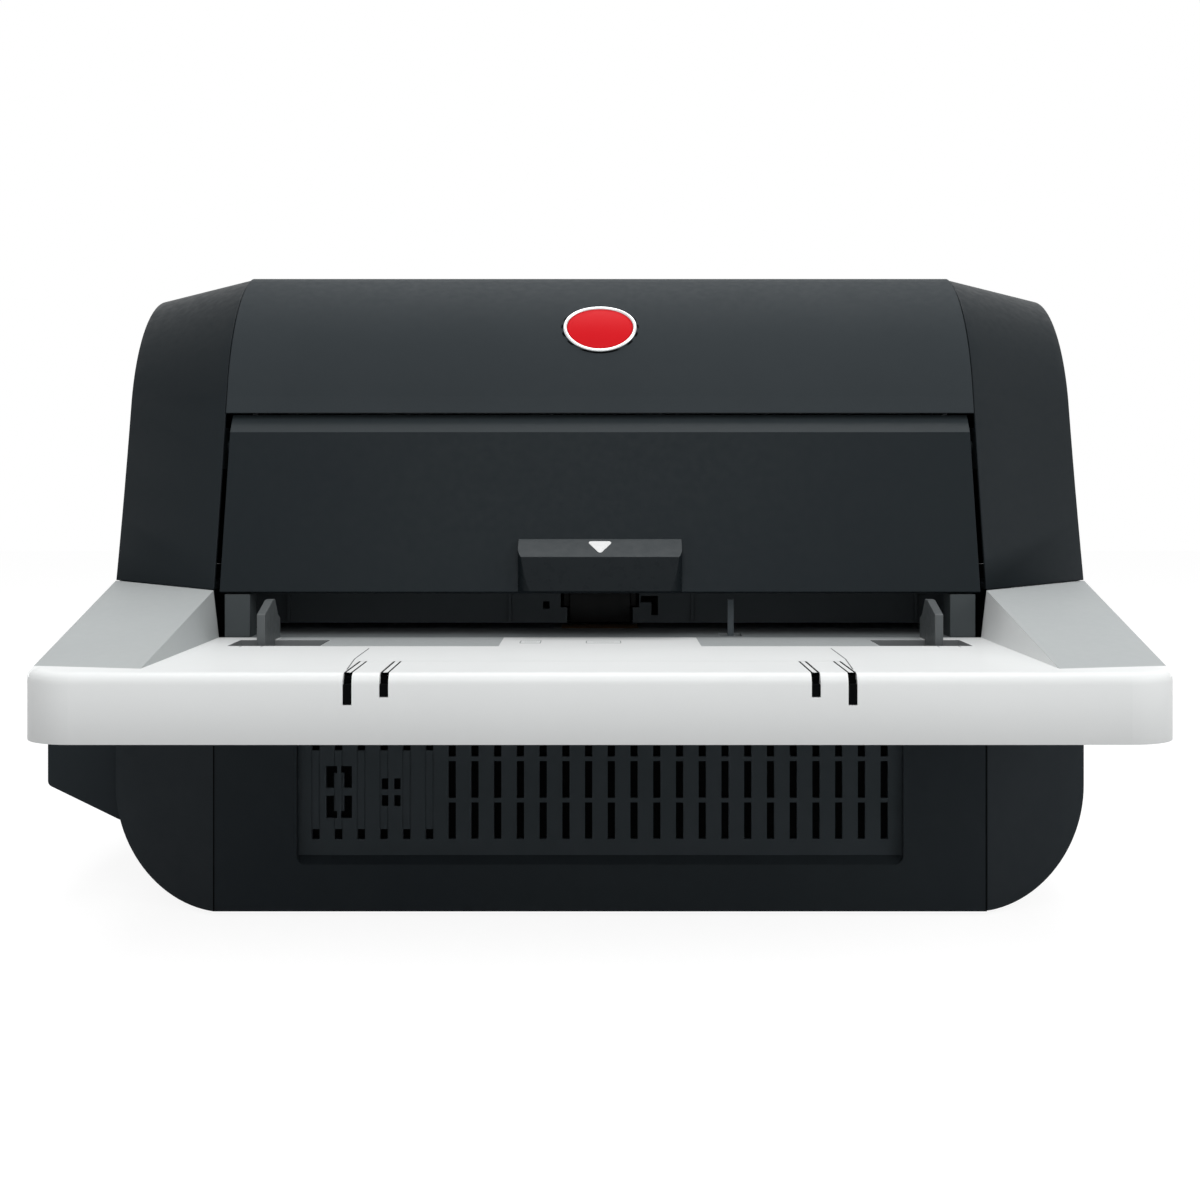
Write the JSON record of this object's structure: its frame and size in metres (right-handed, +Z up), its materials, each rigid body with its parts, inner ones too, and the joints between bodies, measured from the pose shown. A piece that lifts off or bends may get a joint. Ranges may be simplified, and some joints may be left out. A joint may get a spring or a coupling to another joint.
{
  "type": "sheet-fed desktop laminator",
  "caption": "Sheet-fed desktop laminator with a pale feed tray, sliding paper guides, pull-out tray stages, a hinged cartridge door, a curved hood and a vented base.",
  "frame": {"origin": "on the table, under the middle of the machine's box", "axes": "+X to the right seen from the front, along the longest side; +Y towards the back; +Z up"},
  "size_m": [0.472, 0.349, 0.289],
  "materials": {
    "hood_black": "satin moulded ABS",
    "base_black": "fine-textured ABS",
    "door_black": "satin moulded ABS",
    "tray_grey": "smooth light grey ABS",
    "glide_grey": "smooth mid grey plastic",
    "guide_grey": "satin grey plastic",
    "throat_black": "satin black plastic",
    "badge_red": "gloss red",
    "badge_silver": "bright plated",
    "frame_steel": "zinc-plated sheet",
    "shaft_steel": "turned steel",
    "roller_rubber": "ground rubber",
    "silicone_red": "silicone sleeve",
    "gear_white": "acetal",
    "film_clear": "wound clear film",
    "board_green": "solder mask",
    "panel_black": "gloss black",
    "button_grey": "satin grey plastic",
    "foot_rubber": "rubber",
    "cork": "cork composite"
  },
  "bodies": {
    "casing": {"base_pan": "frame_steel", "rubber_feet": "foot_rubber", "base_front_panel": "base_black", "base_side_cover_right": "base_black", "base_side_cover_left": "base_black", "gearbox_cover": "base_black", "rear_cover": "base_black", "hood": "hood_black", "hood_cheek_right": "hood_black", "hood_cheek_left": "hood_black", "tray_bezel": "tray_grey", "tray_underside": "tray_grey", "glide_plates": "glide_grey", "throat_posts": "throat_black", "feed_ledge": "throat_black", "feeder_front": "throat_black", "badge_rim": "badge_silver", "badge_plate": "badge_red", "side_frame_right": "frame_steel", "side_frame_left": "frame_steel", "separation_pad": "cork", "path_plate": "frame_steel", "heater_rods": "shaft_steel", "drive_motor": "frame_steel", "cartridge_frame": "guide_grey", "control_board": "board_green", "power_supply": "frame_steel", "fan_frame": "throat_black", "power_inlet": "panel_black", "control_panel": "panel_black"},
    "door": {"cartridge_door": "door_black", "door_grip": "door_black"},
    "extension_outer": {"tray_extension_outer": "tray_grey"},
    "extension_inner": {"tray_extension_inner": "tray_grey"},
    "guide_right": {"paper_guide_right": "guide_grey"},
    "guide_left": {"paper_guide_left": "guide_grey"},
    "guide_pinion": {"guide_pinion": "gear_white"},
    "lever": {"sensor_lever": "throat_black"},
    "pickup_arm": {"pickup_arm": "shaft_steel"},
    "pickup_roller": {"pickup_roller": "roller_rubber"},
    "feed_lower": {"feed_roller_lower": "roller_rubber", "feed_gear": "gear_white"},
    "feed_upper": {"feed_roller_upper": "roller_rubber"},
    "heat_lower": {"heat_roller_lower": "silicone_red", "heat_gear_lower": "gear_white"},
    "heat_upper": {"heat_roller_upper": "silicone_red", "heat_gear_upper": "gear_white"},
    "exit_lower": {"exit_roller_lower": "roller_rubber", "exit_gear": "gear_white"},
    "exit_upper": {"exit_roller_upper": "roller_rubber"},
    "idler_front": {"idler_gear_front": "gear_white"},
    "idler_rear": {"idler_gear_rear": "gear_white"},
    "pinion": {"motor_pinion": "shaft_steel"},
    "film_upper": {"film_roll_upper": "film_clear"},
    "film_lower": {"film_roll_lower": "film_clear"},
    "fan": {"fan_rotor": "throat_black"},
    "rocker": {"power_switch": "panel_black"},
    "button_power": {"button_power": "button_grey"},
    "button_speed": {"button_speed": "button_grey"},
    "button_start": {"button_start": "button_grey"}
  },
  "joints": [
    {"name": "door_hinge", "type": "hinge", "parent": "casing", "child": "door", "pos_m": [0.016, -0.0045, 0.205], "axis": [-1, 0, 0], "range_deg": [0, 85]},
    {"name": "extension_outer_slide", "type": "slide", "parent": "casing", "child": "extension_outer", "axis": [0, -1, 0], "range_m": [0, 0.06]},
    {"name": "extension_inner_slide", "type": "slide", "parent": "extension_outer", "child": "extension_inner", "axis": [0, -1, 0], "range_m": [0, 0.06]},
    {"name": "guide_right_slide", "type": "slide", "parent": "casing", "child": "guide_right", "axis": [1, 0, 0], "range_m": [-0.02, 0.009]},
    {"name": "guide_left_slide", "type": "slide", "parent": "casing", "child": "guide_left", "axis": [-1, 0, 0], "range_m": [-0.02, 0.009]},
    {"name": "guide_pinion_spin", "type": "hinge", "parent": "casing", "child": "guide_pinion", "pos_m": [0.016, -0.0585, 0.103], "axis": [0, 0, 1], "range_deg": [-60, 120]},
    {"name": "lever_tip", "type": "hinge", "parent": "casing", "child": "lever", "pos_m": [0.074, -0.0235, 0.113], "axis": [-1, 0, 0], "range_deg": [0, 18], "stiffness_Nm_per_rad": 0.002, "springref_deg": -5.73},
    {"name": "pickup_arm_swing", "type": "hinge", "parent": "casing", "child": "pickup_arm", "pos_m": [0.016, 0.0455, 0.1503], "axis": [1, 0, 0], "range_deg": [-8, 3]},
    {"name": "pickup_roller_spin", "type": "hinge", "parent": "pickup_arm", "child": "pickup_roller", "pos_m": [0.016, 0.027, 0.1339], "axis": [1, 0, 0], "continuous": true},
    {"name": "heat_lower_spin", "type": "hinge", "parent": "casing", "child": "heat_lower", "pos_m": [0.016, 0.0955, 0.106], "axis": [1, 0, 0], "continuous": true},
    {"name": "heat_upper_spin", "type": "hinge", "parent": "casing", "child": "heat_upper", "pos_m": [0.016, 0.0955, 0.1363], "axis": [1, 0, 0], "continuous": true},
    {"name": "feed_lower_spin", "type": "hinge", "parent": "casing", "child": "feed_lower", "pos_m": [0.016, 0.0575, 0.111], "axis": [1, 0, 0], "continuous": true},
    {"name": "feed_upper_spin", "type": "hinge", "parent": "casing", "child": "feed_upper", "pos_m": [0.016, 0.0575, 0.1313], "axis": [1, 0, 0], "continuous": true},
    {"name": "exit_lower_spin", "type": "hinge", "parent": "casing", "child": "exit_lower", "pos_m": [0.016, 0.1335, 0.111], "axis": [1, 0, 0], "continuous": true},
    {"name": "exit_upper_spin", "type": "hinge", "parent": "casing", "child": "exit_upper", "pos_m": [0.016, 0.1335, 0.1313], "axis": [1, 0, 0], "continuous": true},
    {"name": "idler_front_spin", "type": "hinge", "parent": "casing", "child": "idler_front", "pos_m": [-0.152, 0.07134, 0.09383], "axis": [1, 0, 0], "continuous": true},
    {"name": "idler_rear_spin", "type": "hinge", "parent": "casing", "child": "idler_rear", "pos_m": [-0.152, 0.11966, 0.09383], "axis": [1, 0, 0], "continuous": true},
    {"name": "motor_pinion_spin", "type": "hinge", "parent": "casing", "child": "pinion", "pos_m": [-0.152, 0.0955, 0.08195], "axis": [1, 0, 0], "continuous": true},
    {"name": "film_upper_spin", "type": "hinge", "parent": "casing", "child": "film_upper", "pos_m": [0.016, 0.0575, 0.205], "axis": [1, 0, 0], "continuous": true},
    {"name": "film_lower_spin", "type": "hinge", "parent": "casing", "child": "film_lower", "pos_m": [0.016, 0.0495, 0.06], "axis": [1, 0, 0], "continuous": true},
    {"name": "fan_spin", "type": "hinge", "parent": "casing", "child": "fan", "pos_m": [-0.014, 0.1625, 0.076], "axis": [0, 1, 0], "continuous": true},
    {"name": "rocker_tilt", "type": "hinge", "parent": "casing", "child": "rocker", "pos_m": [0.153, 0.1695, 0.034], "axis": [1, 0, 0], "range_deg": [-8, 8]},
    {"name": "button_power_press", "type": "slide", "parent": "casing", "child": "button_power", "axis": [0, 0, -1], "range_m": [0, 0.0012], "stiffness_N_per_m": 150, "springref_m": -0.0012},
    {"name": "button_speed_press", "type": "slide", "parent": "casing", "child": "button_speed", "axis": [0, 0, -1], "range_m": [0, 0.0012], "stiffness_N_per_m": 150, "springref_m": -0.0012},
    {"name": "button_start_press", "type": "slide", "parent": "casing", "child": "button_start", "axis": [0, 0, -1], "range_m": [0, 0.0012], "stiffness_N_per_m": 150, "springref_m": -0.0012}
  ],
  "couplings": [
    {"joint": "guide_left_slide", "follows": "guide_right_slide", "ratio": 1},
    {"joint": "guide_pinion_spin", "follows": "guide_right_slide", "rad_per_m": -100},
    {"joint": "heat_upper_spin", "follows": "heat_lower_spin", "ratio": -1},
    {"joint": "idler_front_spin", "follows": "heat_lower_spin", "ratio": -1.25},
    {"joint": "idler_rear_spin", "follows": "heat_lower_spin", "ratio": -1.25},
    {"joint": "feed_lower_spin", "follows": "heat_lower_spin", "ratio": 1.5},
    {"joint": "exit_lower_spin", "follows": "heat_lower_spin", "ratio": 1.5},
    {"joint": "motor_pinion_spin", "follows": "heat_lower_spin", "ratio": -1.6667}
  ]
}
